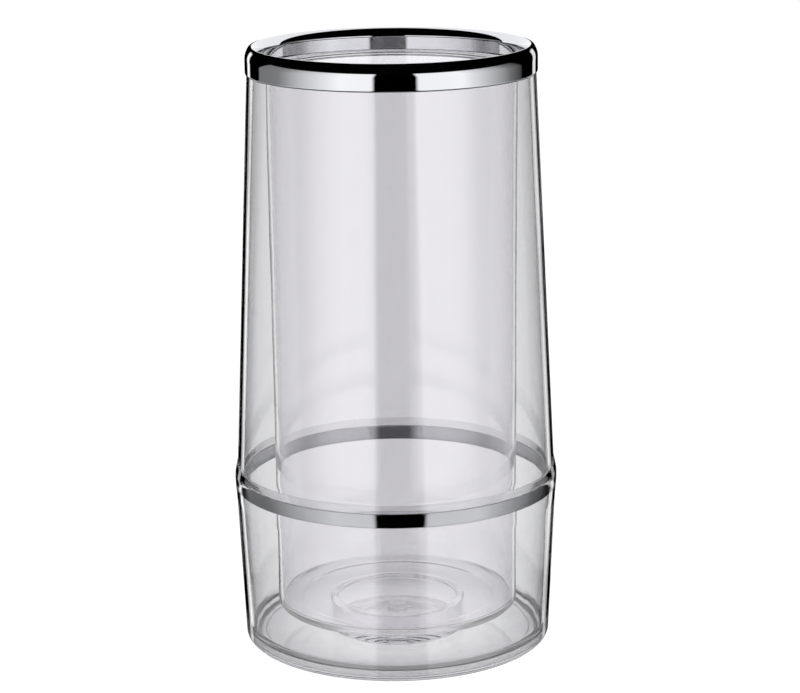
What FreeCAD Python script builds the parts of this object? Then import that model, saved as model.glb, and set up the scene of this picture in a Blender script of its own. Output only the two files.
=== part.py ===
import FreeCAD, Part
import math
import os
import Sketcher

# Double-walled bottle cooler. A clear liner hangs inside a clear tapered sleeve, the sleeve seats
# in the collar of a clear cup, a thin bright band is trapped in that joint and shows through the
# collar, and a chromed ring is pressed over the sleeve's tongue and holds the liner's flange down.
#
# Frame: +Z up, the origin on the axis in the plane that the foot ring stands on, millimetres.
# Every piece is turned: its profile is drawn in its body's XZ plane as (radius, height) corners.

SIZES = [
    # the whole
    ("overall_height", 229.8, "table to the crown of the rim ring"),
    ("waist_height", 66.1, "table to the sleeve's shoulder, where it seats in the cup"),
    # liner
    ("liner_bore", 45.1, "inside radius at the mouth"),
    ("liner_draft", 0.7, "how much narrower the bore is at its floor"),
    ("liner_wall", 1.8, "wall thickness"),
    ("liner_floor_height", 15.4, "table to the ring of the floor that a bottle stands on"),
    ("liner_floor", 2.4, "floor thickness"),
    ("liner_floor_fillet", 1.6, "inside corner of the floor"),
    ("liner_foot_fillet", 2.4, "outside corner of the floor"),
    ("rest_radius", 37.0, "inner edge of the ring that a bottle stands on"),
    ("rest_step", 0.3, "rise of that ring"),
    ("flange_ledge", 4.5, "width of the flange inside the rim ring's opening"),
    ("flange_reach", 1.4, "width of the flange outside the rim ring's skirt"),
    ("flange_thickness", 1.6, "thickness of the flange"),
    ("flange_round", 1.3, "rounding from the flange into the bore"),
    ("flange_root", 2.2, "fillet under the flange"),
    # well in the liner's floor, and the boss around it that stands on the cup's floor
    ("well_radius", 23.1, "mouth of the well"),
    ("well_draft", 0.7, "how much narrower the well is at its floor"),
    ("well_depth", 9.2, "mouth to the edge of the well's floor"),
    ("well_dome", 3.0, "rise of the well's floor to its centre"),
    ("well_floor", 2.4, "thickness of the domed floor at its centre"),
    ("well_fillet", 0.7, "rounding of the well's mouth"),
    ("boss_wall", 2.6, "mouth of the well to the outside of the boss"),
    ("boss_rim", 3.4, "width of the ring that the boss stands on"),
    ("gate_radius", 3.4, "radius of the moulding gate's mark"),
    ("gate_rise", 1.3, "height of the gate's mark"),
    ("gate_fillet", 0.6, "flare and top rounding of the gate's mark"),
    # rim ring
    ("rim_depth", 10.1, "height of the ring's outer side, crown included"),
    ("rim_face", 5.4, "upright part of the outer side"),
    ("rim_inner_face", 6.3, "outer lower edge to the top of the inner side's upright part"),
    ("rim_crown", 1.3, "radius of the crown"),
    ("rim_crown_in", 2.6, "opening to the middle of the crown"),
    ("rim_skirt_depth", 8.8, "crown to the lower edge of the inner skirt"),
    ("rim_skirt_wall", 1.2, "thickness of the inner skirt"),
    ("rim_channel", 6.3, "depth of the channel, from the outer lower edge"),
    ("rim_outer_wall", 1.15, "thickness of the outer skirt"),
    ("rim_overhang", 0.56, "how far the ring stands proud of the sleeve"),
    ("rim_edge", 0.45, "rounding of the lower edges"),
    # outer sleeve
    ("sleeve_wall", 2.4, "wall thickness"),
    ("sleeve_flare", 7.1, "how much wider the sleeve is at its shoulder than under the ring"),
    ("tongue_wall", 1.05, "wall of the tongue inside the ring's channel"),
    ("tongue_length", 4.6, "length of the tongue"),
    ("spigot_wall", 1.5, "wall of the spigot under the shoulder"),
    ("spigot_lead", 2.6, "height over which the wall thickens to the spigot"),
    ("rib_width", 0.5, "height of each centring rib on the spigot"),
    ("rib_rise", 0.12, "how far a centring rib stands out"),
    ("rib_pitch", 1.5, "distance between the centring ribs"),
    # waist band
    ("band_height", 5.2, "height of the band"),
    ("band_thickness", 0.55, "thickness of the band"),
    # base cup
    ("cup_draft", 2.5, "how much narrower the cup is at the table than under its collar"),
    ("cup_wall", 2.4, "wall thickness"),
    ("cup_floor", 2.4, "floor thickness"),
    ("cup_floor_fillet", 5.2, "inside corner of the floor"),
    ("cup_foot_fillet", 2.2, "outside corner of the foot"),
    ("foot_recess", 0.8, "hollow under the floor"),
    ("foot_width", 7.5, "width of the ring that the cup stands on, its rounding included"),
    ("collar_rise", 0.6, "how far the collar stands out from the cup's wall"),
    ("collar_length", 8.0, "shoulder seat to the foot of the collar"),
    ("collar_lead", 1.3, "height of the slope at the foot of the collar"),
    ("collar_wall", 1.55, "wall of the collar outside the band"),
    ("lip_wall", 0.7, "wall of the lip at the shoulder seat"),
    ("lip_height", 3.3, "lip above the shoulder seat"),
    ("lip_round", 3.8, "height of the lip's rounding, down from its edge"),
    ("lip_edge", 0.2, "thickness of the lip's edge"),
    ("seat_depth", 0.4, "recess in the cup's floor that locates the boss"),
    # clearances, each side
    ("press_gap", 0.08, "pressed or bonded faces"),
    ("seat_gap", 0.2, "located faces"),
]

# Places that pieces share, as expressions on the sheet. A key in braces is a size or a place.
PLACES = {
    "rim_bottom": "{overall_height} - {rim_depth}",
    "face_top": "{rim_bottom} + {rim_face}",
    "inner_face_top": "{rim_bottom} + {rim_inner_face}",
    "channel_top": "{rim_bottom} + {rim_channel}",
    "flange_top": "{overall_height} - {rim_skirt_depth}",
    "flange_bottom": "{flange_top} - {flange_thickness}",
    "rebate": "{rim_bottom} - {press_gap}",
    "tongue_top": "{rebate} + {tongue_length}",
    "opening": "{liner_bore} + {flange_ledge}",
    "crown_middle": "{opening} + {rim_crown_in}",
    "skirt_back": "{opening} + {rim_skirt_wall}",
    "flange_edge": "{skirt_back} + {flange_reach}",
    "tongue_bore": "{flange_edge} + {press_gap}",
    "tongue_outside": "{tongue_bore} + {tongue_wall}",
    "channel_wall": "{tongue_outside} + {press_gap}",
    "rim_outside": "{channel_wall} + {rim_outer_wall}",
    "sleeve_top": "{rim_outside} - {rim_overhang}",
    "shoulder": "{sleeve_top} + {sleeve_flare}",
    "lip_bore": "{shoulder} + {seat_gap}",
    "collar": "{lip_bore} + {lip_wall}",
    "lip_tip": "{lip_bore} + {lip_edge}",
    "lip_top": "{waist_height} + {lip_height}",
    "collar_bore": "{collar} - {collar_wall}",
    "collar_foot": "{waist_height} - {collar_length}",
    "band_outside": "{collar_bore} - {press_gap}",
    "band_inside": "{band_outside} - {band_thickness}",
    "band_bottom": "{waist_height} - {press_gap} - {band_height}",
    "rib_outside": "{band_inside} - {press_gap}",
    "spigot": "{rib_outside} - {rib_rise}",
    "spigot_bore": "{spigot} - {spigot_wall}",
    "spigot_bottom": "{band_bottom} + {seat_gap}",
    "cup_top": "{collar} - {collar_rise}",
    "cup_bore": "{cup_top} - {cup_wall}",
    "cup_foot": "{cup_top} - {cup_draft}",
    "cup_floor_top": "{foot_recess} + {cup_floor}",
    "boss_bottom": "{cup_floor_top} - {seat_depth}",
    "boss_outside": "{well_radius} + {boss_wall}",
    "liner_floor_bore": "{liner_bore} - {liner_draft}",
    "liner_floor_outside": "{liner_floor_bore} + {liner_wall}",
    "liner_underside": "{liner_floor_height} - {liner_floor}",
    "well_edge": "{liner_floor_height} - {well_depth}",
    "well_centre": "{well_edge} + {well_dome}",
}


def expression(text):
    """Sheet expression for a text whose braces name sizes and places."""
    while "{" in text:
        start = text.index("{")
        end = text.index("}", start)
        key = text[start + 1:end]
        meaning = "(" + PLACES[key] + ")" if key in PLACES else "Sizes." + key
        text = text[:start] + meaning + text[end + 1:]
    return text


def number(text):
    """Number that such a text stands for."""
    return float(sizes.evalExpression(expression(text)))


def make_sheet(document):
    sheet = document.addObject("Spreadsheet::Sheet", "Sizes")
    for row, (alias, value, note) in enumerate(SIZES, start=1):
        sheet.set("A%d" % row, alias)
        sheet.set("B%d" % row, "%g" % value)
        sheet.setAlias("B%d" % row, alias)
        sheet.set("C%d" % row, note)
    document.recompute()
    return sheet


def bind(sketch, constraint, text):
    """Add a constraint and tie its value to the sheet."""
    index = sketch.addConstraint(constraint)
    sketch.setExpression("Constraints[%d]" % index, expression(text))


def pin(sketch, line, end, place):
    """Hold one end of a line or arc at a (radius, height) place."""
    radius, height = place
    if radius == "0":
        sketch.addConstraint(Sketcher.Constraint("PointOnObject", line, end, -2))
    else:
        bind(sketch, Sketcher.Constraint("DistanceX", -1, 1, line, end, number(radius)), radius)
    if height == "0":
        sketch.addConstraint(Sketcher.Constraint("PointOnObject", line, end, -1))
    else:
        bind(sketch, Sketcher.Constraint("DistanceY", -1, 1, line, end, number(height)), height)


def point(place):
    return FreeCAD.Vector(number(place[0]), number(place[1]), 0)


def arc_between(start, finish, radius):
    """Counter-clockwise short arc of a radius from start to finish."""
    chord = finish - start
    inward = FreeCAD.Vector(-chord.y, chord.x, 0).normalize()
    centre = (start + finish) * 0.5 + inward * (radius ** 2 - chord.Length ** 2 / 4) ** 0.5
    first = math.atan2(start.y - centre.y, start.x - centre.x)
    last = math.atan2(finish.y - centre.y, finish.x - centre.x)
    last += 2 * math.pi if last < first else 0
    return Part.ArcOfCircle(Part.Circle(centre, FreeCAD.Vector(0, 0, 1), radius), first, last)


def add_profile(body, name, outline):
    """Closed profile in the body's XZ plane.

    Each corner of the outline is (radius, height), and a third item says that the stretch to
    the next corner is an arc: ("left" or "right" where it bulges, its radius).
    """
    sketch = body.newObject("Sketcher::SketchObject", name)
    plane = [item for item in body.Origin.OriginFeatures if item.Role == "XZ_Plane"][0]
    sketch.AttachmentSupport = [(plane, "")]
    sketch.MapMode = "FlatFace"
    ends = []
    for index, corner in enumerate(outline):
        following = outline[(index + 1) % len(outline)]
        start = point(corner)
        finish = point(following)
        if len(corner) == 2:
            line = sketch.addGeometry(Part.LineSegment(start, finish), False)
            ends.append((line, 1, 2))
            continue
        side, radius = corner[2]
        places = (start, finish) if side == "right" else (finish, start)
        arc = sketch.addGeometry(arc_between(*places, number(radius)), False)
        ends.append((arc, 1, 2) if side == "right" else (arc, 2, 1))
        bind(sketch, Sketcher.Constraint("Radius", arc, number(radius)), radius)
    for index, (line, first, last) in enumerate(ends):
        following, next_first, next_last = ends[(index + 1) % len(ends)]
        sketch.addConstraint(Sketcher.Constraint("Coincident", line, last, following, next_first))
        pin(sketch, line, first, outline[index][:2])
    return sketch


def turn(body, name, sketch):
    """Turn a profile about the upright axis."""
    feature = body.newObject("PartDesign::Revolution", name)
    feature.Profile = sketch
    feature.ReferenceAxis = (sketch, ["V_Axis"])
    feature.Angle = 360
    sketch.Visibility = False
    body.Document.recompute()
    return feature


def round_edges(body, name, base, radius, places):
    """Fillet the circular edges of the base feature that lie at (radius, height) places.

    A height of None takes the highest edge of that radius.
    """
    edges = []
    for wanted_radius, wanted_height in places:
        found = []
        for index, edge in enumerate(base.Shape.Edges, start=1):
            if edge.Degenerated or not isinstance(edge.Curve, Part.Circle):
                continue
            curve = edge.Curve
            if abs(curve.Radius - number(wanted_radius)) > 0.01:
                continue
            if wanted_height is None or abs(curve.Center.z - number(wanted_height)) < 0.01:
                found.append((curve.Center.z, "Edge%d" % index))
        if not found:
            raise RuntimeError("%s: no edge at %s, %s" % (name, wanted_radius, wanted_height))
        edges.append(max(found)[1])
    fillet = body.newObject("PartDesign::Fillet", name)
    fillet.Base = (base, edges)
    fillet.setExpression("Radius", expression(radius))
    body.Document.recompute()
    return fillet


def new_body(document, label):
    body = document.addObject("PartDesign::Body", label)
    body.Label = label
    body.Placement = FreeCAD.Placement()
    return body


def make_base_cup(document):
    """Clear cup: foot ring, drafted wall, and a collar whose lip covers the sleeve's shoulder."""
    body = new_body(document, "base_cup")
    lip_run = "({collar} - {lip_tip})"
    lip_radius = "(%s^2 + {lip_round}^2) / (2 * %s)" % (lip_run, lip_run)
    outline = [
        ("0", "{foot_recess}"),
        ("{cup_foot} - {foot_width}", "{foot_recess}"),
        ("{cup_foot} - {foot_width}", "0"),
        ("{cup_foot}", "0"),
        ("{cup_top}", "{collar_foot}"),
        ("{collar}", "{collar_foot} + {collar_lead}"),
        ("{collar}", "{lip_top} - {lip_round}", ("right", lip_radius)),
        ("{lip_tip}", "{lip_top}"),
        ("{lip_bore}", "{lip_top}"),
        ("{lip_bore}", "{waist_height}"),
        ("{collar_bore}", "{waist_height}"),
        ("{collar_bore}", "{band_bottom}"),
        ("{cup_bore}", "{band_bottom}"),
        ("{cup_foot} - {cup_wall}", "{cup_floor_top}"),
        ("{boss_outside} + {seat_gap}", "{cup_floor_top}"),
        ("{boss_outside} + {seat_gap}", "{boss_bottom}"),
        ("0", "{boss_bottom}"),
    ]
    turned = turn(body, "CupTurned", add_profile(body, "CupProfile", outline))
    foot = round_edges(body, "FootFillet", turned, "{cup_foot_fillet}", [("{cup_foot}", "0")])
    corner = [("{cup_foot} - {cup_wall}", "{cup_floor_top}")]
    round_edges(body, "CupFloorFillet", foot, "{cup_floor_fillet}", corner)
    return body


def make_waist_band(document):
    """Thin bright band that stands on the cup's ledge between the collar and the spigot."""
    body = new_body(document, "waist_band")
    outline = [
        ("{band_inside}", "{band_bottom}"),
        ("{band_outside}", "{band_bottom}"),
        ("{band_outside}", "{band_bottom} + {band_height}"),
        ("{band_inside}", "{band_bottom} + {band_height}"),
    ]
    turn(body, "BandTurned", add_profile(body, "BandProfile", outline))
    return body


def make_outer_sleeve(document):
    """Clear tapered sleeve: ribbed spigot below its shoulder, tongue and ledge at its top."""
    body = new_body(document, "outer_sleeve")
    middle = "({waist_height} + {spigot_bottom}) / 2"
    outline = [("{spigot_bore}", "{spigot_bottom}"), ("{spigot}", "{spigot_bottom}")]
    for step in (-1, 0, 1):
        centre = "%s + %d * {rib_pitch}" % (middle, step)
        outline.append(("{spigot}", centre + " - {rib_width} / 2"))
        outline.append(("{rib_outside}", centre + " - {rib_width} / 4"))
        outline.append(("{rib_outside}", centre + " + {rib_width} / 4"))
        outline.append(("{spigot}", centre + " + {rib_width} / 2"))
    outline += [
        ("{spigot}", "{waist_height}"),
        ("{shoulder}", "{waist_height}"),
        ("{sleeve_top}", "{rebate}"),
        ("{tongue_outside}", "{rebate}"),
        ("{tongue_outside}", "{tongue_top}"),
        ("{tongue_bore}", "{tongue_top}"),
        ("{tongue_bore}", "{flange_bottom}"),
        ("{sleeve_top} - {sleeve_wall}", "{flange_bottom}"),
        ("{shoulder} - {sleeve_wall}", "{waist_height} + {spigot_lead}"),
        ("{spigot_bore}", "{waist_height}"),
    ]
    turn(body, "SleeveTurned", add_profile(body, "SleeveProfile", outline))
    return body


def make_liner(document):
    """Clear liner: flange on the sleeve's ledge, and a well whose boss stands on the cup's floor."""
    body = new_body(document, "liner")
    well_foot = "({well_radius} - {well_draft})"
    boss_bore = "({boss_outside} - {boss_rim})"
    crown = "({well_centre} - {well_floor} - {boss_bottom})"
    outline = [
        ("0", "{well_centre}", ("left", "(%s^2 + {well_dome}^2) / (2 * {well_dome})" % well_foot)),
        (well_foot, "{well_edge}"),
        ("{well_radius}", "{liner_floor_height} - {rest_step}"),
        ("{rest_radius}", "{liner_floor_height} - {rest_step}"),
        ("{rest_radius} + {rest_step}", "{liner_floor_height}"),
        ("{liner_floor_bore}", "{liner_floor_height}"),
        ("{liner_bore}", "{flange_top}"),
        ("{flange_edge}", "{flange_top}"),
        ("{flange_edge}", "{flange_bottom}"),
        ("{liner_bore} + {liner_wall}", "{flange_bottom}"),
        ("{liner_floor_outside}", "{liner_underside}"),
        ("{boss_outside}", "{liner_underside}"),
        ("{boss_outside}", "{boss_bottom}"),
        (boss_bore, "{boss_bottom}", ("right", "(%s^2 + %s^2) / (2 * %s)" % (boss_bore, crown, crown))),
        ("0", "{well_centre} - {well_floor}"),
    ]
    turned = turn(body, "LinerTurned", add_profile(body, "LinerProfile", outline))
    root = [("{liner_bore} + {liner_wall}", "{flange_bottom}")]
    feature = round_edges(body, "FlangeRoot", turned, "{flange_root}", root)
    mouth = [("{liner_bore}", "{flange_top}")]
    feature = round_edges(body, "MouthFillet", feature, "{flange_round}", mouth)
    corner = [("{liner_floor_bore}", "{liner_floor_height}")]
    feature = round_edges(body, "LinerFloorFillet", feature, "{liner_floor_fillet}", corner)
    corner = [("{liner_floor_outside}", "{liner_underside}")]
    feature = round_edges(body, "LinerFootFillet", feature, "{liner_foot_fillet}", corner)
    well = [
        ("{well_radius}", "{liner_floor_height} - {rest_step}"),
        ("{boss_outside}", "{liner_underside}"),
    ]
    round_edges(body, "WellFillet", feature, "{well_fillet}", well)
    gate = [
        ("0", "{well_centre} - {well_floor} / 2"),
        ("{gate_radius}", "{well_centre} - {well_floor} / 2"),
        ("{gate_radius}", "{well_centre} + {gate_rise}"),
        ("0", "{well_centre} + {gate_rise}"),
    ]
    feature = turn(body, "GateMark", add_profile(body, "GateProfile", gate))
    round_edges(body, "GateTop", feature, "{gate_fillet}", [("{gate_radius}", None)])
    return body


def make_rim_ring(document):
    """Chromed ring: channel over the sleeve's tongue, skirt on the liner's flange."""
    body = new_body(document, "rim_ring")
    outer = ("({rim_outside} - {crown_middle})", "({overall_height} - {rim_crown} - {face_top})")
    inner = ("{rim_crown_in}", "({overall_height} - {rim_crown} - {inner_face_top})")
    outline = [
        ("{rim_outside}", "{rim_bottom}"),
        ("{rim_outside}", "{face_top}", ("right", flank_radius(*outer))),
        (*flank_end("+", *outer), ("right", "{rim_crown}")),
        (*flank_end("-", *inner), ("right", flank_radius(*inner))),
        ("{opening}", "{inner_face_top}"),
        ("{opening}", "{flange_top}"),
        ("{skirt_back}", "{flange_top}"),
        ("{skirt_back}", "{channel_top}"),
        ("{channel_wall}", "{channel_top}"),
        ("{channel_wall}", "{rim_bottom}"),
    ]
    turned = turn(body, "RimTurned", add_profile(body, "RimProfile", outline))
    edges = [("{rim_outside}", "{rim_bottom}"), ("{opening}", "{flange_top}")]
    round_edges(body, "RimEdges", turned, "{rim_edge}", edges)
    return body


def flank_radius(run, rise):
    """Radius of the arc that leaves an upright face and meets the crown's arc smoothly.

    run and rise go from the top of the face to the middle of the crown's arc.
    """
    return "(%s^2 + %s^2 - {rim_crown}^2) / (2 * (%s - {rim_crown}))" % (run, rise, run)


def flank_end(side, run, rise):
    """Place where a flank's arc turns into the crown's, outside (+) or inside (-) its middle."""
    radius = "(" + flank_radius(run, rise) + ")"
    share = "({rim_crown} / (%s - {rim_crown}))" % radius
    return (
        "{crown_middle} %s (%s - %s) * %s" % (side, radius, run, share),
        "{overall_height} - {rim_crown} + %s * %s" % (rise, share),
    )


def check(document, bodies):
    """Stop on any failed object, and on any body that isn't one valid solid."""
    for item in document.Objects:
        if "Invalid" in item.State or "Error" in item.State:
            raise RuntimeError("%s is %s" % (item.Label, item.State))
    for body in bodies:
        shape = body.Shape
        if shape.isNull() or not shape.isValid() or len(shape.Solids) != 1:
            raise RuntimeError("%s is not one valid solid" % body.Label)


document = FreeCAD.newDocument("BottleCooler")
sizes = make_sheet(document)
bodies = [
    make_base_cup(document),
    make_waist_band(document),
    make_outer_sleeve(document),
    make_liner(document),
    make_rim_ring(document),
]
document.recompute()
check(document, bodies)
os.makedirs("parts", exist_ok=True)
for body in bodies:
    body.Shape.exportStep("parts/%s.step" % body.Label)
    print(body.Label, round(body.Shape.Volume, 1), body.Shape.BoundBox)
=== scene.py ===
import math

import bpy
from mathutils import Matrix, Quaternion, Vector


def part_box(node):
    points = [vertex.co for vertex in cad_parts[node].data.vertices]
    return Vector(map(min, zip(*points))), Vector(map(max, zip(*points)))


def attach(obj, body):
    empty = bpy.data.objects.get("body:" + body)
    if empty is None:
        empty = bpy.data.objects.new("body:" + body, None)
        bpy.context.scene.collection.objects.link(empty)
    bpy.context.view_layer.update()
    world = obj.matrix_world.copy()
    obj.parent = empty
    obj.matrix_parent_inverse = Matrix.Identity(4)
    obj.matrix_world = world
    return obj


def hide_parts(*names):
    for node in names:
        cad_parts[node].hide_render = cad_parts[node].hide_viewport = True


bl_info = {
    "name": "Double-walled bottle cooler",
    "version": (1, 0, 0),
    "blender": (4, 5, 0),
    "location": "3D View > Sidebar > Cooler",
    "description": "Turned clear shells, chromed rim and waist band around a fixed frame",
    "category": "Object",
}

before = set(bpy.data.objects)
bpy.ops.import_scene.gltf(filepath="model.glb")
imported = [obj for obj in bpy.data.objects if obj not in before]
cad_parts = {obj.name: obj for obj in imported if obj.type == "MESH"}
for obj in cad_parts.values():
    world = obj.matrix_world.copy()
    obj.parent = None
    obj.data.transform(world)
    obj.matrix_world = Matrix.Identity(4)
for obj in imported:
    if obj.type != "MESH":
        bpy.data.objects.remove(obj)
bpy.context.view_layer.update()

MM = 0.001


def reach(node):
    """Outer radius and lowest and highest points of a turned CAD piece, in metres."""
    low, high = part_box(node)
    return (high.x - low.x) / 2, low.z, high.z


CUP_RADIUS, _, CUP_TOP = reach("base_cup")
BAND_RADIUS, BAND_BOTTOM, BAND_TOP = reach("waist_band")
SLEEVE_RADIUS, SPIGOT_BOTTOM, TONGUE_TOP = reach("outer_sleeve")
FLANGE_RADIUS, BOSS_BOTTOM, FLANGE_TOP = reach("liner")
RIM_RADIUS, RIM_BOTTOM, RIM_TOP = reach("rim_ring")


# ---------------------------------------------------------------- sizes and colours to change

def length(name, description, default):
    return bpy.props.FloatProperty(
        name=name, description=description, default=default, unit="LENGTH", subtype="DISTANCE",
        precision=5,
    )


def colour(name, description, default):
    return bpy.props.StringProperty(name=name, description=description, default=default)


class CoolerShellSizes(bpy.types.PropertyGroup):
    """Walls, floors and roundings of the three clear mouldings."""

    cup_wall: length("Cup wall", "Wall of the base cup", 2.4 * MM)
    cup_draft: length("Cup draft", "How much narrower the cup is at the table", 2.5 * MM)
    cup_floor: length("Cup floor", "Thickness of the cup's floor", 2.4 * MM)
    foot_recess: length("Foot recess", "Hollow under the cup's floor", 0.8 * MM)
    foot_width: length("Foot width", "Ring that the cup stands on", 7.5 * MM)
    collar_rise: length("Collar rise", "How far the collar stands out", 0.6 * MM)
    collar_wall: length("Collar wall", "Wall of the collar outside the band", 1.55 * MM)
    lip_wall: length("Lip wall", "Wall of the lip above the band", 0.7 * MM)
    lip_height: length("Lip height", "Lip above the sleeve's seat", 3.3 * MM)
    sleeve_wall: length("Sleeve wall", "Wall of the outer sleeve", 2.4 * MM)
    sleeve_flare: length("Sleeve flare", "How much wider the sleeve is at its foot", 7.1 * MM)
    tongue_wall: length("Tongue wall", "Tongue inside the rim ring", 1.05 * MM)
    liner_wall: length("Liner wall", "Wall of the liner", 1.8 * MM)
    liner_bore: length("Liner bore", "Inside radius of the liner's mouth", 45.1 * MM)
    liner_draft: length("Liner draft", "How much narrower the liner is at its floor", 0.7 * MM)
    liner_floor: length("Liner floor", "Thickness of the liner's floor", 2.4 * MM)
    floor_height: length("Floor height", "Table to the liner's floor", 15.4 * MM)
    well_radius: length("Well radius", "Mouth of the well in the floor", 23.1 * MM)
    well_depth: length("Well depth", "Mouth to the edge of the well's floor", 9.2 * MM)
    well_dome: length("Well dome", "Rise of the well's floor to its centre", 3.0 * MM)


class CoolerLooks(bpy.types.PropertyGroup):
    """Colours of the finishes, and the grey of the painted shade in the cup's foot, as sRGB hex
    values.
    """

    clear: colour("Clear plastic", "Faint tint of the cup and the sleeve", "#EEEEEF")
    liner: colour("Liner plastic", "Faint tint of the liner", "#FEFDFF")
    chrome: colour("Chrome", "Colour of the plated ring", "#DCDDE0")
    band: colour("Band", "Colour of the bright band", "#C6C7CA")
    # foot: painted shade, the grey of the shaded table under the cup, painted into the plastic of
    # its foot
    foot: colour("Painted foot shade", "Painted shade of the table, seen through the cup's foot", "#CFCFD2")
    floor: colour("Floor", "Colour of the floor", "#FBFBFB")


# ---------------------------------------------------------------- modelling

TURN_STEPS = 288
CONTACT = 0.03 * MM  # left between faces that touch, so that clear walls don't coincide
PLAY = 0.08 * MM  # clearance of parts that push together
BAND_WALL = 0.55 * MM
FLANGE_DEPTH = 1.6 * MM


def deselect():
    if bpy.context.object and bpy.context.object.mode != "OBJECT":
        bpy.ops.object.mode_set(mode="OBJECT")
    bpy.ops.object.select_all(action="DESELECT")


def arc(start, finish, radius, steps, side=1):
    """Points of a short arc after start and before finish; side 1 bulges right of the way."""
    a, b = Vector(start), Vector(finish)
    chord = b - a
    inward = Vector((-chord.y, chord.x)).normalized() * side
    centre = (a + b) / 2 + inward * math.sqrt(max(radius ** 2 - chord.length_squared / 4, 0))
    first = math.atan2(a.y - centre.y, a.x - centre.x)
    last = math.atan2(b.y - centre.y, b.x - centre.x)
    sweep = (last - first + math.pi) % (2 * math.pi) - math.pi
    angles = [first + sweep * step / steps for step in range(1, steps)]
    return [(centre.x + radius * math.cos(t), centre.y + radius * math.sin(t)) for t in angles]


def flank(wall, height, middle, crown):
    """Arc from an upright wall at a height into a crown arc: its radius and meeting point."""
    side = 1 if wall > middle.x else -1
    run, rise = side * (wall - middle.x), middle.y - height
    radius = (run ** 2 + rise ** 2 - crown ** 2) / (2 * (run - crown))
    centre = Vector((wall - side * radius, height))
    meet = middle + (middle - centre).normalized() * crown
    return radius, (meet.x, meet.y)


def select_only(mesh, indices):
    """In edit mode, leave just these vertices selected."""
    bpy.ops.object.mode_set(mode="EDIT")
    bpy.ops.mesh.select_all(action="DESELECT")
    bpy.ops.object.mode_set(mode="OBJECT")
    for index in indices:
        mesh.vertices[index].select = True
    bpy.ops.object.mode_set(mode="EDIT")


def turned(name, outline):
    """Turn an outline of (radius, height) or (radius, height, rounding) corners into a solid.

    The outline is drawn by extruding one vertex from corner to corner, its corners are rounded
    by vertex bevels, and the closed outline is spun about the upright axis.
    """
    deselect()
    first = outline[0]
    bpy.ops.mesh.primitive_plane_add(size=MM, location=(0, 0, 0), enter_editmode=True)
    piece = bpy.context.object
    piece.name = name
    piece.data.name = name
    bpy.ops.mesh.select_mode(type="VERT")
    bpy.ops.mesh.select_all(action="SELECT")
    bpy.ops.mesh.merge(type="CENTER")
    bpy.ops.transform.translate(value=(first[0], 0, first[1]))
    for before, after in zip(outline, outline[1:]):
        step = (after[0] - before[0], 0, after[1] - before[1])
        bpy.ops.mesh.extrude_region_move(TRANSFORM_OT_translate={"value": step})
    open_at_axis = first[0] == 0 and outline[-1][0] == 0
    if not open_at_axis:
        select_only(piece.data, [0, len(outline) - 1])
        bpy.ops.mesh.edge_face_add()
    round_corners(piece, outline)
    bpy.ops.mesh.select_all(action="SELECT")
    bpy.ops.mesh.spin(
        steps=TURN_STEPS, angle=2 * math.pi, center=(0, 0, 0), axis=(0, 0, 1), use_normal_flip=False
    )
    bpy.ops.mesh.select_all(action="SELECT")
    bpy.ops.mesh.remove_doubles(threshold=0.001 * MM)
    bpy.ops.mesh.normals_make_consistent(inside=False)
    bpy.ops.object.mode_set(mode="OBJECT")
    bpy.ops.object.shade_smooth_by_angle(angle=math.radians(35))
    bpy.ops.object.modifier_add(type="WEIGHTED_NORMAL")
    piece.modifiers[-1].keep_sharp = True
    piece.modifiers[-1].weight = 100
    bpy.ops.object.modifier_apply(modifier=piece.modifiers[-1].name)
    return piece


def round_corners(piece, outline):
    """Bevel each corner that has a rounding, from the last corner back to the first."""
    count = len(outline)
    for index in reversed(range(count)):
        if len(outline[index]) < 3:
            continue
        corner = Vector(outline[index][:2])
        back = Vector(outline[index - 1][:2]) - corner
        ahead = Vector(outline[(index + 1) % count][:2]) - corner
        turn = math.pi - back.angle(ahead)
        radius = outline[index][2]
        bpy.ops.object.mode_set(mode="OBJECT")
        near = min(piece.data.vertices, key=lambda v: (Vector((v.co.x, v.co.z)) - corner).length)
        select_only(piece.data, [near.index])
        bpy.ops.mesh.bevel(
            offset_type="OFFSET", offset=radius * math.tan(turn / 2), affect="VERTICES",
            segments=max(4, math.ceil(math.degrees(turn) / 9)), profile=0.5, clamp_overlap=False,
        )


def finish_piece(piece, node, material):
    """Give a turned piece its finish, attach it to the root body, and let it stand for its CAD
    node.
    """
    piece.data.materials.clear()
    piece.data.materials.append(material)
    piece.visible_diffuse = False
    piece.visible_shadow = False
    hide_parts(node)
    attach(piece, "root")
    return piece


# ---------------------------------------------------------------- materials

def linear(hex_colour):
    """sRGB hex to a linear RGBA colour."""
    parts = [int(hex_colour[i:i + 2], 16) / 255 for i in (1, 3, 5)]
    return [p / 12.92 if p <= 0.04045 else ((p + 0.055) / 1.055) ** 2.4 for p in parts] + [1.0]


def add(tree, kind, settings=None, links=None):
    """Add a node; settings go to its sockets or attributes, links to its inputs."""
    node = tree.nodes.new(kind)
    for key, value in (settings or {}).items():
        if isinstance(key, int) or key in node.inputs:
            node.inputs[key].default_value = value
        else:
            setattr(node, key, value)
    for key, source in (links or {}).items():
        tree.links.new(source, node.inputs[key])
    return node


def new_material(name):
    material = bpy.data.materials.new(name)
    material.use_nodes = True
    material.node_tree.nodes.clear()
    return material, material.node_tree


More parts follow.
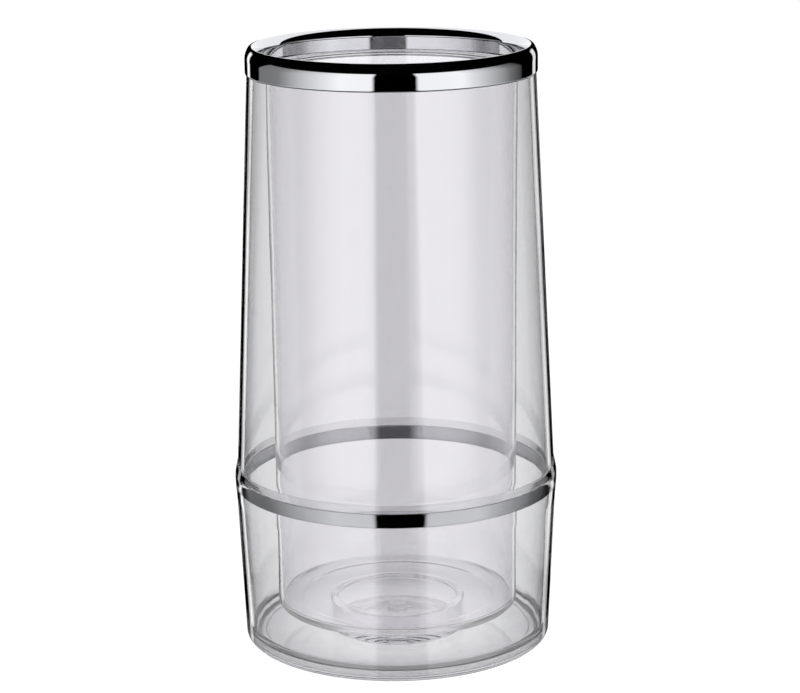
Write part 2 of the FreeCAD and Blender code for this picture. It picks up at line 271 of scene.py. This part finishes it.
def painted_foot_shade(tree, place, tint, shade_tint):
    """The plain tint, darkened by painted shade outwards and downwards in the cup's foot: the
    shaded table seen through the foot, painted into the plastic.
    """
    flat = add(tree, "ShaderNodeMapping", {"Scale": (1, 1, 0)}, {"Vector": place})
    radius = add(
        tree, "ShaderNodeVectorMath", {"operation": "LENGTH"}, {0: flat.outputs["Vector"]}
    )
    outwards = add(
        tree, "ShaderNodeMapRange",
        {"From Min": 32 * MM, "From Max": 48 * MM, "To Min": 0, "To Max": 1},
        {"Value": radius.outputs["Value"]},
    )
    height = add(tree, "ShaderNodeSeparateXYZ", {}, {"Vector": place}).outputs["Z"]
    downwards = add(
        tree, "ShaderNodeMapRange",
        {"From Min": 3.4 * MM, "From Max": 8 * MM, "To Max": 0},
        {"Value": height, "To Min": outwards.outputs["Result"]},
    )
    first, second, result = 6, 7, 2  # the colour sockets of a Mix node
    mix = add(
        tree, "ShaderNodeMix",
        {"data_type": "RGBA", first: linear(tint), second: linear(shade_tint)},
        {"Factor": downwards.outputs["Result"]},
    )
    return mix.outputs[result]


def clear_moulded_san(
    name, tint, wave_height, scuff_low=0, scuff_high=0, scuff=0, shade_tint=None
):
    """Clear styrene-acrylonitrile, injection moulded in polished steel.

    It is water clear with a faint grey-lilac tint, and glossy. The melt's flow leaves shallow
    waves along the walls, a few hundredths of a millimetre high, that bend what is seen
    through them.
    """
    material, tree = new_material(name)
    place = add(tree, "ShaderNodeTexCoord").outputs["Object"]
    stretch = add(tree, "ShaderNodeMapping", {"Scale": (1, 1, 0.12)}, {"Vector": place})
    # waves about 9 mm across the wall and eight times as long up it
    waves = add(
        tree, "ShaderNodeTexNoise",
        {"Scale": 1 / (9 * MM), "Detail": 1.0, "Roughness": 0.4},
        {"Vector": stretch.outputs["Vector"]},
    )
    bump = add(
        tree, "ShaderNodeBump", {"Strength": 1.0, "Distance": wave_height},
        {"Height": waves.outputs["Fac"]},
    )
    # wiping marks: faint haze in upright streaks about 3 mm apart
    marks = add(
        tree, "ShaderNodeTexNoise",
        {"Scale": 1 / (3 * MM), "Detail": 6.0, "Roughness": 0.7},
        {"Vector": stretch.outputs["Vector"]},
    )
    haze = add(
        tree, "ShaderNodeMapRange",
        {"From Min": 0.55, "From Max": 0.85, "To Min": 0.0, "To Max": 0.03},
        {"Value": marks.outputs["Fac"]},
    )
    # scuffs where it is stood on or where bottles stand, between two heights
    height = add(tree, "ShaderNodeSeparateXYZ", {}, {"Vector": place}).outputs["Z"]
    above = add(
        tree, "ShaderNodeMapRange",
        {"From Min": scuff_low - 0.3 * MM, "From Max": scuff_low, "To Min": 0, "To Max": scuff},
        {"Value": height},
    )
    rough = add(
        tree, "ShaderNodeMapRange",
        {"From Min": scuff_high, "From Max": scuff_high + 0.6 * MM, "To Max": 0},
        {"Value": height, "To Min": above.outputs["Result"]},
    )
    worn = add(
        tree, "ShaderNodeMath", {"operation": "MAXIMUM"},
        {0: haze.outputs["Result"], 1: rough.outputs["Result"]},
    )
    shader = add(
        tree, "ShaderNodeBsdfPrincipled",
        {"Base Color": linear(tint), "IOR": 1.57, "Transmission Weight": 1.0},
        {"Roughness": worn.outputs[0], "Normal": bump.outputs["Normal"]},
    )
    # painted shade: the foot's tint darkens where the shaded table is seen through the cup
    if shade_tint:
        tree.links.new(painted_foot_shade(tree, place, tint, shade_tint), shader.inputs["Base Color"])
    add(tree, "ShaderNodeOutputMaterial", {}, {"Surface": shader.outputs["BSDF"]})
    return material


def plated_chrome(name, tint, grain_height):
    """Bright chrome plated on moulded ABS.

    It is a mirror with a faint blue-grey cast. The plating follows the moulding's slight orange
    peel, about 4 mm across, and handling leaves hairlines under a millimetre apart, which only
    spread the edges of reflections.
    """
    material, tree = new_material(name)
    place = add(tree, "ShaderNodeTexCoord").outputs["Object"]
    peel = add(
        tree, "ShaderNodeTexNoise",
        {"Scale": 1 / (4 * MM), "Detail": 3.0, "Roughness": 0.5}, {"Vector": place},
    )
    bump = add(
        tree, "ShaderNodeBump", {"Strength": 1.0, "Distance": grain_height},
        {"Height": peel.outputs["Fac"]},
    )
    hairs = add(
        tree, "ShaderNodeTexNoise",
        {"Scale": 1 / (0.8 * MM), "Detail": 8.0, "Roughness": 0.7}, {"Vector": place},
    )
    rough = add(
        tree, "ShaderNodeMapRange",
        {"From Min": 0.4, "From Max": 0.8, "To Min": 0.02, "To Max": 0.06},
        {"Value": hairs.outputs["Fac"]},
    )
    shader = add(
        tree, "ShaderNodeBsdfPrincipled",
        {"Base Color": linear(tint), "Metallic": 1.0},
        {"Roughness": rough.outputs["Result"], "Normal": bump.outputs["Normal"]},
    )
    add(tree, "ShaderNodeOutputMaterial", {}, {"Surface": shader.outputs["BSDF"]})
    return material


# ---------------------------------------------------------------- shared places

def places():
    """Radii and heights that several pieces share, from the frame and the shell sizes."""
    s = bpy.context.scene.cooler_shell_sizes
    lip_bore = CUP_RADIUS - s.lip_wall
    return {
        "lip_bore": lip_bore,
        "collar_bore": CUP_RADIUS - s.collar_wall,
        "cup_wall_top": CUP_RADIUS - s.collar_rise,
        "cup_foot": CUP_RADIUS - s.collar_rise - s.cup_draft,
        "cup_floor_top": s.foot_recess + s.cup_floor,
        "waist": CUP_TOP - s.lip_height,
        "sleeve_top": SLEEVE_RADIUS - s.sleeve_flare,
        "liner_foot": s.liner_bore - s.liner_draft,
    }


class COOLER_OT_base_cup(bpy.types.Operator):
    """Turn the clear cup: foot ring, drafted wall, collar and lip"""

    bl_idname = "cooler.base_cup"
    bl_label = "Base cup"

    def execute(self, context):
        s = context.scene.cooler_shell_sizes
        p = places()
        foot, top = p["cup_foot"], p["cup_wall_top"]
        floor_top = p["cup_floor_top"]
        recess = foot - s.foot_width
        collar_low, collar_high = p["waist"] - 11.0 * MM, p["waist"] - 3.5 * MM
        lip_start = CUP_TOP - 3.8 * MM
        lip_tip, lip_edge = p["lip_bore"] - 0.18 * MM, 0.14 * MM
        ledge = BAND_BOTTOM - CONTACT
        seat, seat_floor = s.well_radius + 2.8 * MM, BOSS_BOTTOM - CONTACT
        outline = [
            (0, s.foot_recess),
            (recess, s.foot_recess, 0.4 * MM),
            (recess, 0, 0.3 * MM),
            (foot, 0, 2.2 * MM),
            (top, collar_low, 30.0 * MM),
            (CUP_RADIUS, collar_high, 30.0 * MM),
            (CUP_RADIUS, lip_start, 6.0 * MM),
            (lip_tip + lip_edge, CUP_TOP, 0.05 * MM),
            (lip_tip, CUP_TOP, 0.05 * MM),
            (p["lip_bore"], p["waist"], 0.05 * MM),
            (p["collar_bore"], p["waist"], 0.1 * MM),
            (p["collar_bore"], ledge, 0.1 * MM),
            (top - s.cup_wall, ledge, 0.3 * MM),
            (foot - s.cup_wall, floor_top, 5.2 * MM),
            (seat, floor_top, 0.15 * MM),
            (seat, seat_floor, 0.15 * MM),
            (0, seat_floor),
        ]
        looks = context.scene.cooler_looks
        # the cup carries painted shade in its foot: a darker tint for the shaded table seen through
        # it
        plastic = clear_moulded_san(
            "Clear SAN, moulded cup", looks.clear, wave_height=0.06 * MM,
            scuff_low=0, scuff_high=1.0 * MM, scuff=0.12, shade_tint=looks.foot,
        )
        finish_piece(turned("clear_base_cup", outline), "base_cup", plastic)
        return {"FINISHED"}


class COOLER_OT_waist_band(bpy.types.Operator):
    """Turn the thin bright band that lies between the collar and the spigot"""

    bl_idname = "cooler.waist_band"
    bl_label = "Waist band"

    def execute(self, context):
        inside = BAND_RADIUS - BAND_WALL
        outline = [
            (inside, BAND_BOTTOM, 0.1 * MM),
            (BAND_RADIUS, BAND_BOTTOM, 0.15 * MM),
            (BAND_RADIUS, BAND_TOP, 0.15 * MM),
            (inside, BAND_TOP, 0.1 * MM),
        ]
        looks = context.scene.cooler_looks
        metal = plated_chrome("Chrome-plated band", looks.band, 0.0015 * MM)
        finish_piece(turned("bright_waist_band", outline), "waist_band", metal)
        return {"FINISHED"}


class COOLER_OT_outer_sleeve(bpy.types.Operator):
    """Turn the clear tapered sleeve with its ribbed spigot and its tongue"""

    bl_idname = "cooler.outer_sleeve"
    bl_label = "Outer sleeve"

    def execute(self, context):
        s = context.scene.cooler_shell_sizes
        p = places()
        waist = p["waist"] + CONTACT
        rib = BAND_RADIUS - BAND_WALL - PLAY
        rib_rise, rib_spacing = 0.12 * MM, 1.5 * MM
        rib_foot, rib_crest = 0.25 * MM, 0.125 * MM
        spigot = rib - rib_rise
        spigot_bore = spigot - 1.5 * MM
        outline = [(spigot_bore, SPIGOT_BOTTOM, 0.3 * MM), (spigot, SPIGOT_BOTTOM, 0.3 * MM)]
        for step in (-1, 0, 1):
            middle = (p["waist"] + SPIGOT_BOTTOM) / 2 + step * rib_spacing
            outline.append((spigot, middle - rib_foot))
            outline.append((rib, middle - rib_crest))
            outline.append((rib, middle + rib_crest))
            outline.append((spigot, middle + rib_foot))
        rebate = RIM_BOTTOM - PLAY
        tongue_bore = FLANGE_RADIUS + PLAY
        tongue_outside = tongue_bore + s.tongue_wall
        ledge = FLANGE_TOP - FLANGE_DEPTH - CONTACT
        inner_shoulder = p["waist"] + 2.6 * MM
        outline += [
            (spigot, waist, 0.15 * MM),
            (SLEEVE_RADIUS, waist, 0.35 * MM),
            (p["sleeve_top"], rebate, 0.15 * MM),
            (tongue_outside, rebate, 0.15 * MM),
            (tongue_outside, TONGUE_TOP, 0.3 * MM),
            (tongue_bore, TONGUE_TOP, 0.3 * MM),
            (tongue_bore, ledge, 0.15 * MM),
            (p["sleeve_top"] - s.sleeve_wall, ledge, 0.3 * MM),
            (SLEEVE_RADIUS - s.sleeve_wall, inner_shoulder, 40.0 * MM),
        ]
        looks = context.scene.cooler_looks
        plastic = clear_moulded_san(
            "Clear SAN, moulded sleeve", looks.clear, wave_height=0.03 * MM
        )
        finish_piece(turned("clear_outer_sleeve", outline), "outer_sleeve", plastic)
        return {"FINISHED"}


class COOLER_OT_liner(bpy.types.Operator):
    """Turn the clear liner with its flange, floor, well and gate mark"""

    bl_idname = "cooler.liner"
    bl_label = "Liner"

    def execute(self, context):
        s = context.scene.cooler_shell_sizes
        p = places()
        bore, foot = s.liner_bore, p["liner_foot"]
        floor_top = s.floor_height
        floor_low = floor_top - 0.15 * MM
        rest_start, rest_end = 36.6 * MM, 37.6 * MM
        underside = floor_top - s.liner_floor
        well_foot = s.well_radius - 0.7 * MM
        well_edge = floor_top - s.well_depth
        centre = well_edge + s.well_dome
        dome = (well_foot ** 2 + s.well_dome ** 2) / (2 * s.well_dome)
        gate, gate_top = 3.7 * MM, centre + 2.0 * MM
        gate_foot = centre - gate ** 2 / (2 * dome)
        boss = s.well_radius + 2.6 * MM
        boss_bore = boss - 3.4 * MM
        crown = centre - 2.4 * MM
        rise = crown - BOSS_BOTTOM
        under_dome = (boss_bore ** 2 + rise ** 2) / (2 * rise)
        outline = [
            (0, gate_top),
            (gate, gate_top, 0.6 * MM),
            (gate, gate_foot, 0.8 * MM),
            *arc((gate, gate_foot), (well_foot, well_edge), dome, 16, -1),
            (well_foot, well_edge, 0.5 * MM),
            (s.well_radius, floor_low, 0.7 * MM),
            (rest_start, floor_low, 1.2 * MM),
            (rest_end, floor_top, 1.2 * MM),
            (foot, floor_top, 1.6 * MM),
            (bore, FLANGE_TOP - CONTACT, 0.5 * MM),
            (FLANGE_RADIUS, FLANGE_TOP - CONTACT, 0.15 * MM),
            (FLANGE_RADIUS, FLANGE_TOP - FLANGE_DEPTH, 0.15 * MM),
            (bore + s.liner_wall, FLANGE_TOP - FLANGE_DEPTH, 0.3 * MM),
            (foot + s.liner_wall, underside, 2.4 * MM),
            (boss, underside, 0.7 * MM),
            (boss, BOSS_BOTTOM, 0.3 * MM),
            (boss_bore, BOSS_BOTTOM, 0.3 * MM),
            *arc((boss_bore, BOSS_BOTTOM), (0, crown), under_dome, 16),
            (0, crown),
        ]
        looks = context.scene.cooler_looks
        plastic = clear_moulded_san(
            "Clear SAN, moulded liner", looks.liner, wave_height=0.02 * MM,
            scuff_low=12.7 * MM, scuff_high=15.6 * MM, scuff=0.15,
        )
        finish_piece(turned("clear_liner", outline), "liner", plastic)
        return {"FINISHED"}


class COOLER_OT_rim_ring(bpy.types.Operator):
    """Turn the chromed ring: channel, outer skirt, crown and inner skirt"""

    bl_idname = "cooler.rim_ring"
    bl_label = "Rim ring"

    def execute(self, context):
        s = context.scene.cooler_shell_sizes
        outer_wall, inner_wall = 1.15 * MM, 1.2 * MM
        opening = s.liner_bore + 4.5 * MM
        back = opening + inner_wall
        channel = RIM_RADIUS - outer_wall
        face_top = RIM_BOTTOM + 5.4 * MM
        skirt_top = RIM_BOTTOM + 6.3 * MM
        crown = 1.3 * MM
        middle = Vector((opening + 2.6 * MM, RIM_TOP - crown))
        outer_radius, outer_meet = flank(RIM_RADIUS, face_top, middle, crown)
        inner_radius, inner_meet = flank(opening, skirt_top, middle, crown)
        outline = [
            (RIM_RADIUS, RIM_BOTTOM, 0.65 * MM),
            (RIM_RADIUS, face_top),
            *arc((RIM_RADIUS, face_top), outer_meet, outer_radius, 14),
            outer_meet,
            *arc(outer_meet, inner_meet, crown, 12),
            inner_meet,
            *arc(inner_meet, (opening, skirt_top), inner_radius, 12),
            (opening, skirt_top),
            (opening, FLANGE_TOP, 0.45 * MM),
            (back, FLANGE_TOP, 0.2 * MM),
            (back, skirt_top, 0.3 * MM),
            (channel, skirt_top, 0.3 * MM),
            (channel, RIM_BOTTOM, 0.2 * MM),
        ]
        looks = context.scene.cooler_looks
        metal = plated_chrome("Chrome-plated ABS ring", looks.chrome, 0.0015 * MM)
        finish_piece(turned("chromed_rim_ring", outline), "rim_ring", metal)
        return {"FINISHED"}


# ---------------------------------------------------------------- stage

# Brightness of the studio round the object by azimuth, in degrees from the camera's side, as
# mirrored light sees it: two softboxes that fade towards the back, with black between and
# behind them, and two strips beside the backdrop. Positive azimuths are on the right.
LEFT_BOX = [
    (-126.5, 0), (-125, 0.22), (-107, 0.25), (-98, 0.28), (-90, 0.40), (-82, 0.56), (-66, 0.83),
    (-49, 1.12), (-41, 1.27), (-14.6, 1.22), (-13.2, 0),
]
RIGHT_BOX = [
    (18.8, 0), (20.4, 1.20), (57, 1.25), (66, 1.0), (82, 0.66), (98, 0.38), (106, 0.21),
    (122, 0.06), (123, 0),
]
STRIPS = [
    (-154, 0), (-152, 1.3), (-147, 1.3), (-145, 0), (145, 0), (147, 1.0), (154, 1.0), (156, 0),
]
# The backdrop, as mirrored light sees it after crossing several clear walls.
BEHIND = [(-145, 1.0), (-95, 0.3), (-88, 0), (88, 0), (95, 0.3), (145, 1.0)]


# The even studio that all other light sees, and the lit table under the object.
OPEN_LEVEL = 1.12
UNDER_LEVEL = 0.4
# The reflector behind the object: its place, width and height, and how far its top narrows.
CARD_BACK, CARD_WIDTH, CARD_HEIGHT, CARD_TAPER = 0.07, 0.124, 0.42, 0.74


class COOLER_OT_stage(bpy.types.Operator):
    """Set up the pale floor, the soft studio light and the camera"""

    bl_idname = "cooler.stage"
    bl_label = "Stage"

    def execute(self, context):
        self.floor(context)
        self.card(context)
        self.light(context)
        self.camera(context)
        return {"FINISHED"}

    def floor(self, context):
        deselect()
        bpy.ops.mesh.primitive_circle_add(
            vertices=96, radius=12.0, fill_type="NGON", location=(0, 0, -0.05 * MM)
        )
        floor = context.object
        floor.name = "pale_floor"
        bpy.ops.object.transform_apply(location=True)
        material, tree = new_material("Pale matt floor")
        base = linear(context.scene.cooler_looks.floor)
        matt = add(tree, "ShaderNodeBsdfDiffuse", {"Color": base})
        gone = add(tree, "ShaderNodeBsdfTransparent")
        mix = add(
            tree, "ShaderNodeMixShader", {},
            {0: self.mirrored(tree), 1: matt.outputs[0], 2: gone.outputs[0]},
        )
        add(tree, "ShaderNodeOutputMaterial", {}, {"Surface": mix.outputs[0]})
        floor.data.materials.append(material)

    def card(self, context):
        """A narrow white reflector behind the object, seen only in its reflections."""
        deselect()
        bpy.ops.mesh.primitive_plane_add(size=1, enter_editmode=True)
        bpy.ops.transform.rotate(
            value=math.pi / 2, orient_axis="X", center_override=(0, 0, 0)
        )
        bpy.ops.transform.resize(value=(CARD_WIDTH, 1, CARD_HEIGHT), center_override=(0, 0, 0))
        bpy.ops.transform.translate(value=(0, CARD_BACK, CARD_HEIGHT / 2))
        mesh = context.object.data
        bpy.ops.object.mode_set(mode="OBJECT")
        select_only(mesh, [v.index for v in mesh.vertices if v.co.z > CARD_HEIGHT / 2])
        bpy.ops.transform.resize(
            value=(CARD_TAPER, 1, 1), center_override=(0, CARD_BACK, CARD_HEIGHT)
        )
        bpy.ops.object.mode_set(mode="OBJECT")
        card = context.object
        card.name = "white_card"
        material, tree = new_material("Lit white card")
        lit = add(tree, "ShaderNodeEmission", {"Color": (1, 1, 1, 1), "Strength": 1.1})
        gone = add(tree, "ShaderNodeBsdfTransparent")
        mix = add(
            tree, "ShaderNodeMixShader", {},
            {0: self.mirrored(tree), 1: gone.outputs[0], 2: lit.outputs[0]},
        )
        add(tree, "ShaderNodeOutputMaterial", {}, {"Surface": mix.outputs[0]})
        card.data.materials.append(material)
        card.visible_diffuse = False
        card.visible_shadow = False

    def mirrored(self, tree):
        """1 for light that a surface has mirrored on its way, and 0 for the rest."""
        path = add(tree, "ShaderNodeLightPath")
        test = add(
            tree, "ShaderNodeMath", {"operation": "GREATER_THAN", 1: 0.5},
            {0: path.outputs["Glossy Depth"]},
        )
        return test.outputs[0]

    def light(self, context):
        world = bpy.data.worlds.new("Soft studio")
        context.scene.world = world
        world.use_nodes = True
        tree = world.node_tree
        tree.nodes.clear()
        way = add(tree, "ShaderNodeTexCoord").outputs["Generated"]
        axes = add(tree, "ShaderNodeSeparateXYZ", {}, {"Vector": way})
        ahead = add(
            tree, "ShaderNodeMath", {"operation": "MULTIPLY", 1: -1}, {0: axes.outputs["Y"]}
        )
        azimuth = add(
            tree, "ShaderNodeMath", {"operation": "ARCTAN2"},
            {0: axes.outputs["X"], 1: ahead.outputs[0]},
        )
        turn = self.part_of_turn(tree, azimuth.outputs[0])
        # the boxes stand close, so they spread backwards lower down
        spread = add(
            tree, "ShaderNodeMapRange",
            {"From Min": -1, "From Max": 1, "To Min": 0.577, "To Max": 1.559},
            {"Value": axes.outputs["Z"]},
        )
        near = add(
            tree, "ShaderNodeMath", {"operation": "MULTIPLY"},
            {0: azimuth.outputs[0], 1: spread.outputs["Result"]},
        )
        boxes = self.ramp(tree, self.part_of_turn(tree, near.outputs[0]), [*LEFT_BOX, *RIGHT_BOX])
        strips = self.ramp(tree, turn, STRIPS)
        backdrop = self.ramp(tree, turn, BEHIND)
        low = self.band(tree, axes, -50, -35, 8, 11)
        total = self.under(tree, axes)
        for source, share in ((boxes, low), (strips, low), (backdrop, self.inside(tree, axes))):
            part = add(
                tree, "ShaderNodeMath", {"operation": "MULTIPLY"},
                {0: source.outputs["Color"], 1: share},
            )
            brighter = add(
                tree, "ShaderNodeMath", {"operation": "MAXIMUM"},
                {0: total, 1: part.outputs[0]},
            )
            total = brighter.outputs[0]
        level = add(
            tree, "ShaderNodeMix", {"data_type": "FLOAT", "A": OPEN_LEVEL},
            {"Factor": self.mirrored(tree), "B": total},
        )
        light = add(tree, "ShaderNodeBackground", {"Color": (1, 1, 1, 1)},
                    {"Strength": level.outputs["Result"]})
        add(tree, "ShaderNodeOutputWorld", {}, {"Surface": light.outputs[0]})

    def inside(self, tree, axes):
        """1 for light that has crossed several walls, or been mirrored up by a clear floor."""
        fewest = add(
            tree, "ShaderNodeMapRange",
            {
                "From Min": math.sin(math.radians(3)), "From Max": math.sin(math.radians(6)),
                "To Min": 4.5, "To Max": 1.5,
            },
            {"Value": axes.outputs["Z"]},
        )
        path = add(tree, "ShaderNodeLightPath")
        test = add(
            tree, "ShaderNodeMath", {"operation": "GREATER_THAN"},
            {0: path.outputs["Transmission Depth"], 1: fewest.outputs["Result"]},
        )
        return test.outputs[0]

    def under(self, tree, axes):
        """Light that comes steeply up from the table, seen through the clear walls only."""
        node = add(
            tree, "ShaderNodeMapRange",
            {
                "From Min": math.sin(math.radians(-50)), "From Max": math.sin(math.radians(-35)),
                "To Min": UNDER_LEVEL, "To Max": 0,
            },
            {"Value": axes.outputs["Z"]},
        )
        path = add(tree, "ShaderNodeLightPath")
        crossed = add(
            tree, "ShaderNodeMath", {"operation": "MINIMUM", 1: 1},
            {0: path.outputs["Transmission Depth"]},
        )
        seen = add(
            tree, "ShaderNodeMath", {"operation": "MULTIPLY"},
            {0: node.outputs["Result"], 1: crossed.outputs[0]},
        )
        return seen.outputs[0]

    def part_of_turn(self, tree, azimuth):
        """Azimuth in radians from the camera's side, as 0 to 1 over the whole turn."""
        node = add(
            tree, "ShaderNodeMapRange",
            {"From Min": -math.pi, "From Max": math.pi, "To Min": 0, "To Max": 1},
            {"Value": azimuth},
        )
        return node.outputs["Result"]

    def ramp(self, tree, turn, stops):
        """Brightness by azimuth, as a colour ramp through (degrees, level) stops."""
        node = add(tree, "ShaderNodeValToRGB", {}, {"Fac": turn})
        elements = node.color_ramp.elements
        while len(elements) > 1:
            elements.remove(elements[-1])
        for index, (degrees, level) in enumerate(stops):
            place = degrees / 360 + 0.5
            stop = elements[0] if index == 0 else elements.new(place)
            stop.position = place
            stop.color = (level, level, level, 1)
        return node

    def band(self, tree, axes, low_start, low_end, high_start, high_end):
        """1 between two elevations in degrees, with soft edges."""
        rise, fall = [
            add(
                tree, "ShaderNodeMapRange",
                {
                    "From Min": math.sin(math.radians(a)), "From Max": math.sin(math.radians(b)),
                    "To Min": x, "To Max": y,
                },
                {"Value": axes.outputs["Z"]},
            )
            for a, b, x, y in ((low_start, low_end, 0, 1), (high_start, high_end, 1, 0))
        ]
        both = add(
            tree, "ShaderNodeMath", {"operation": "MULTIPLY"},
            {0: rise.outputs["Result"], 1: fall.outputs["Result"]},
        )
        return both.outputs[0]

    def camera(self, context):
        """A long lens from the front, a little above the rim."""
        deselect()
        bpy.ops.object.camera_add(location=(0.0021, -0.9595, 0.3549))
        camera = context.object
        camera.name = "studio_camera"
        tilt = Quaternion((1, 0, 0), math.radians(90 - 14.10))
        roll = Quaternion((0, 0, 1), math.radians(-0.636))
        camera.rotation_mode = "QUATERNION"
        camera.rotation_quaternion = tilt @ roll
        camera.data.lens = 116.4
        camera.data.sensor_width = 36
        camera.data.clip_start = 0.01
        camera.data.clip_end = 50
        scene = context.scene
        scene.camera = camera
        scene.view_settings.view_transform = "Standard"
        scene.cycles.max_bounces = 40
        scene.cycles.transmission_bounces = 40
        scene.cycles.glossy_bounces = 16
        scene.cycles.transparent_max_bounces = 16


# ---------------------------------------------------------------- add-on

class COOLER_PT_panel(bpy.types.Panel):
    """Lists the steps that build the cooler"""

    bl_idname = "COOLER_PT_panel"
    bl_label = "Bottle cooler"
    bl_space_type = "VIEW_3D"
    bl_region_type = "UI"
    bl_category = "Cooler"

    def draw(self, context):
        for step in STEPS:
            self.layout.operator(step.bl_idname)
        for group in (context.scene.cooler_shell_sizes, context.scene.cooler_looks):
            box = self.layout.box()
            for name in group.__annotations__:
                box.prop(group, name)


STEPS = (
    COOLER_OT_base_cup,
    COOLER_OT_waist_band,
    COOLER_OT_outer_sleeve,
    COOLER_OT_liner,
    COOLER_OT_rim_ring,
    COOLER_OT_stage,
)
CLASSES = (CoolerShellSizes, CoolerLooks, *STEPS, COOLER_PT_panel)


def register():
    for cls in CLASSES:
        bpy.utils.register_class(cls)
    bpy.types.Scene.cooler_shell_sizes = bpy.props.PointerProperty(type=CoolerShellSizes)
    bpy.types.Scene.cooler_looks = bpy.props.PointerProperty(type=CoolerLooks)


def unregister():
    del bpy.types.Scene.cooler_looks
    del bpy.types.Scene.cooler_shell_sizes
    for cls in reversed(CLASSES):
        bpy.utils.unregister_class(cls)


def main():
    register()
    bpy.ops.cooler.base_cup()
    bpy.ops.cooler.waist_band()
    bpy.ops.cooler.outer_sleeve()
    bpy.ops.cooler.liner()
    bpy.ops.cooler.rim_ring()
    bpy.ops.cooler.stage()


if __name__ == "__main__":
    main()
